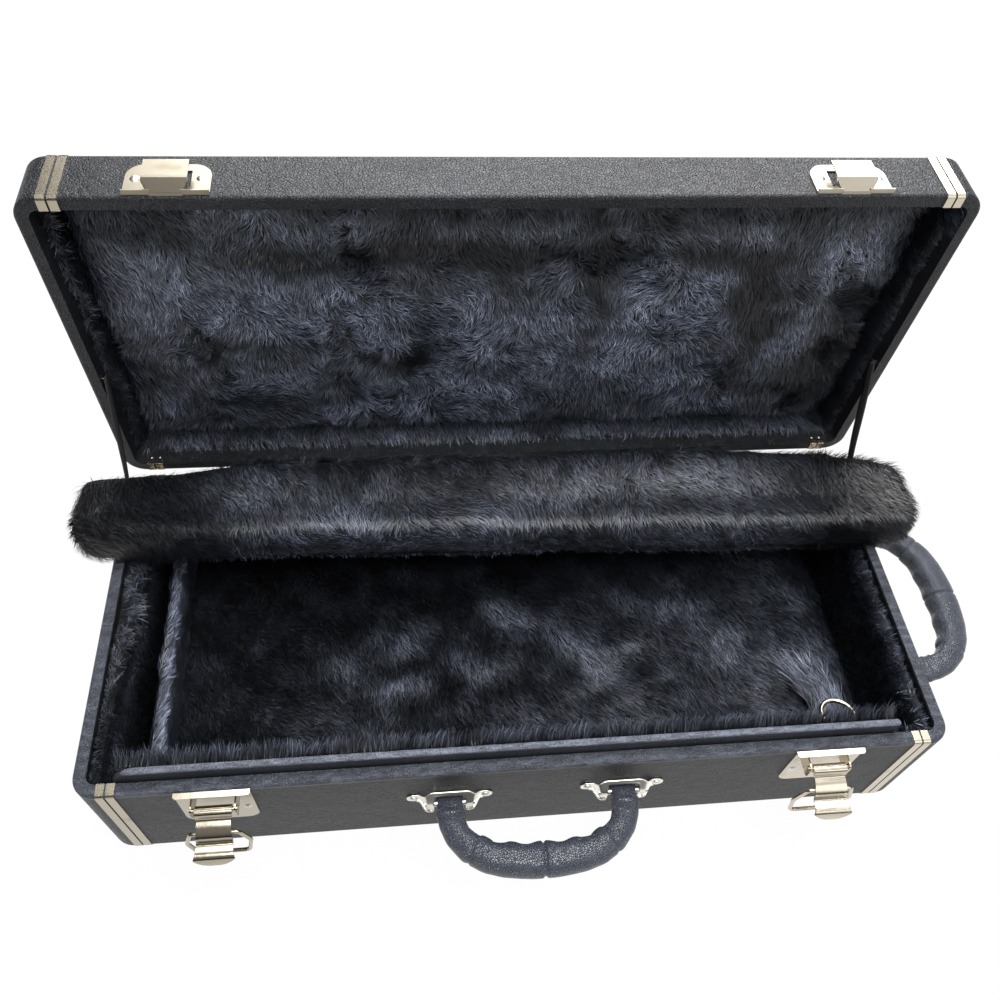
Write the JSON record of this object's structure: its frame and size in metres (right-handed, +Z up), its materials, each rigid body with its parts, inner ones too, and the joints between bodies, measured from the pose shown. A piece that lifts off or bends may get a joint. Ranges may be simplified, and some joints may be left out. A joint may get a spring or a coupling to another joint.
{
  "type": "trumpet case",
  "caption": "Oblong vinyl-covered instrument case with a hinged lid, plush lining and bolster, draw latches and two carrying handles.",
  "frame": {"origin": "centre of the case's underside, where it stands", "axes": "+Z up; +X along the case's length, towards the end with the side handle; the latches face -Y and the hinges are at +Y"},
  "size_m": [0.6831, 0.3685, 0.3821],
  "materials": {
    "wood": "plain",
    "vinyl": "grained",
    "plush": "long pile",
    "padding": "soft",
    "nickel": "polished",
    "steel": "satin",
    "grip": "pebbled",
    "ribbon": "woven"
  },
  "bodies": {
    "case_body": {"body_band_nails": "nickel", "body_bands_left": "nickel", "body_bands_right": "nickel", "body_base_covering": "vinyl", "body_floor_lining": "plush", "body_floor_panel": "wood", "body_frame": "wood", "body_side_covering": "vinyl", "body_wall_lining": "plush", "end_divider_board": "wood", "end_divider_cover": "plush", "front_handle_axles": "steel", "front_handle_bracket_left": "nickel", "front_handle_bracket_right": "nickel", "front_lip_board": "wood", "front_lip_covering": "vinyl", "handle_bracket_rivets": "nickel", "hinge_leaves_body": "steel", "hinge_pins": "steel", "hinge_rivets_body": "steel", "latch_pin_left": "nickel", "latch_pin_right": "nickel", "latch_plate_left": "nickel", "latch_plate_right": "nickel", "latch_rivets": "nickel", "lining_ring_tab": "ribbon", "side_handle_axles": "steel", "side_handle_bracket_front": "nickel", "side_handle_bracket_rear": "nickel", "stay_strap_left": "ribbon", "stay_strap_right": "ribbon", "strap_studs_body": "nickel"},
    "lid": {"catch_plate_left": "nickel", "catch_plate_right": "nickel", "catch_rivets": "nickel", "hinge_leaves_lid": "steel", "hinge_rivets_lid": "steel", "lid_band_nails": "nickel", "lid_bands_left": "nickel", "lid_bands_right": "nickel", "lid_frame": "wood", "lid_panel_lining": "plush", "lid_side_covering": "vinyl", "lid_top_covering": "vinyl", "lid_top_panel": "wood", "lid_wall_lining": "plush", "strap_studs_lid": "nickel"},
    "bolster": {"bolster_core": "padding", "bolster_cover": "plush", "bolster_end_padding": "padding"},
    "left_lever": {"latch_lever_left": "nickel"},
    "left_ring": {"latch_ring_left": "nickel"},
    "right_lever": {"latch_lever_right": "nickel"},
    "right_ring": {"latch_ring_right": "nickel"},
    "front_grip": {"front_handle_core": "steel", "front_handle_grip": "grip"},
    "side_grip": {"side_handle_core": "steel", "side_handle_grip": "grip"},
    "pull_ring": {"lining_ring": "nickel"}
  },
  "joints": [
    {"name": "lid_hinge", "type": "hinge", "parent": "case_body", "child": "lid", "pos_m": [0, 0.1335, 0.1068], "axis": [-1, 0, 0], "range_deg": [-87.75, 0], "deforming": ["stay_strap_left", "stay_strap_right"]},
    {"name": "bolster_press", "type": "slide", "parent": "case_body", "child": "bolster", "axis": [0, 0, 1], "range_m": [-0.04, 0], "deforming": ["bolster_cover", "bolster_end_padding"]},
    {"name": "left_lever_hinge", "type": "hinge", "parent": "case_body", "child": "left_lever", "pos_m": [-0.2105, -0.14, 0.092], "axis": [-1, 0, 0], "range_deg": [-59, 0]},
    {"name": "left_ring_swing", "type": "hinge", "parent": "left_lever", "child": "left_ring", "pos_m": [-0.2105, -0.15286, 0.08427], "axis": [1, 0, 0], "range_deg": [-243.1, 0]},
    {"name": "right_lever_hinge", "type": "hinge", "parent": "case_body", "child": "right_lever", "pos_m": [0.2105, -0.14, 0.092], "axis": [-1, 0, 0], "range_deg": [-59, 0]},
    {"name": "right_ring_swing", "type": "hinge", "parent": "right_lever", "child": "right_ring", "pos_m": [0.2105, -0.15286, 0.08427], "axis": [1, 0, 0], "range_deg": [-243.1, 0]},
    {"name": "front_handle_hinge", "type": "hinge", "parent": "case_body", "child": "front_grip", "pos_m": [0.0065, -0.1376, 0.066], "axis": [-1, 0, 0], "range_deg": [-82, 18]},
    {"name": "side_handle_hinge", "type": "hinge", "parent": "case_body", "child": "side_grip", "pos_m": [0.3056, -0.006, 0.086], "axis": [0, -1, 0], "range_deg": [-82, 18]},
    {"name": "pull_ring_hinge", "type": "hinge", "parent": "case_body", "child": "pull_ring", "pos_m": [0.2305, -0.1126, 0.093], "axis": [1, 0, 0], "range_deg": [-75, 80]}
  ],
  "couplings": [
    {"joint": "bolster_press", "follows": "lid_hinge", "m_per_rad": 0.0261},
    {"joint": "left_ring_swing", "follows": "left_lever_hinge", "ratio": 4.119},
    {"joint": "right_ring_swing", "follows": "right_lever_hinge", "ratio": 4.119}
  ]
}
